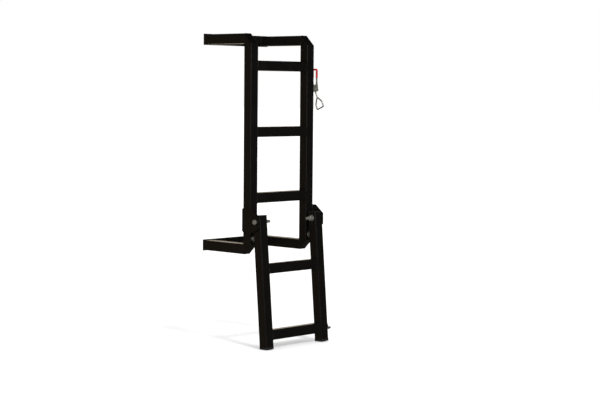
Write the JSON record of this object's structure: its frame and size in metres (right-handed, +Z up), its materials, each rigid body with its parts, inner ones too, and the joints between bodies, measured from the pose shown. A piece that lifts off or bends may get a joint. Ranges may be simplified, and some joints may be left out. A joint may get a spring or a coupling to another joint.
{
  "type": "folding access ladder",
  "caption": "Square-tube access ladder that stands off a wall on closed arm frames, with a fold-up lower section held by a toggle latch.",
  "frame": {"origin": "centre of the rear face of the lower rest bar", "axes": "+Z up along the uprights, +Y towards the wall, +X to the climber's right"},
  "size_m": [0.4085, 0.3708, 1.2434],
  "materials": {
    "powder_coat": "satin black powder coat on steel tube",
    "zinc": "bright zinc plating",
    "rubber": "black rubber",
    "vinyl": "red dipped vinyl"
  },
  "bodies": {
    "upper_frame": {"left_upright": "powder_coat", "right_upright": "powder_coat", "top_left_corner": "powder_coat", "top_right_corner": "powder_coat", "bottom_left_corner": "powder_coat", "bottom_right_corner": "powder_coat", "top_left_arm": "powder_coat", "top_right_arm": "powder_coat", "bottom_left_arm": "powder_coat", "bottom_right_arm": "powder_coat", "upper_rest_bar": "powder_coat", "lower_rest_bar": "powder_coat", "top_rung": "powder_coat", "second_rung": "powder_coat", "third_rung": "powder_coat", "left_hinge_plate": "powder_coat", "right_hinge_plate": "powder_coat", "left_pivot_bolt": "zinc", "right_pivot_bolt": "zinc", "pivot_thrust_washers": "zinc", "pivot_nut_washers": "zinc", "pivot_lock_nuts": "zinc", "stop_bolts": "zinc", "stop_washers": "zinc", "stop_lock_nuts": "zinc", "stop_weld_nuts": "zinc", "latch_base": "zinc", "latch_base_rivets": "zinc", "lever_pivot_rivets": "zinc"},
    "lower_section": {"left_leg": "powder_coat", "right_leg": "powder_coat", "fourth_rung": "powder_coat", "bottom_rung": "powder_coat", "left_pivot_sleeve": "zinc", "right_pivot_sleeve": "zinc", "left_leg_cap": "rubber", "right_leg_cap": "rubber", "left_foot": "rubber", "right_foot": "rubber", "catch_plate": "zinc", "catch_rivets": "zinc"},
    "latch_lever": {"latch_lever": "zinc", "lever_grip": "vinyl"},
    "draw_link": {"swivel_barrel": "zinc", "draw_link": "zinc"}
  },
  "joints": [
    {"name": "lower_section_fold", "type": "hinge", "parent": "upper_frame", "child": "lower_section", "pos_m": [0, -0.307, 0.112], "axis": [-1, 0, 0], "range_deg": [0, 175]},
    {"name": "latch_lever_open", "type": "hinge", "parent": "upper_frame", "child": "latch_lever", "pos_m": [0.208, -0.2515, 0.632], "axis": [0, 1, 0], "range_deg": [0, 150]},
    {"name": "draw_link_swing", "type": "hinge", "parent": "latch_lever", "child": "draw_link", "pos_m": [0.208, -0.2515, 0.644], "axis": [0, 1, 0], "range_deg": [-150, 0]}
  ],
  "couplings": [
    {"joint": "draw_link_swing", "follows": "latch_lever_open", "ratio": -1}
  ]
}
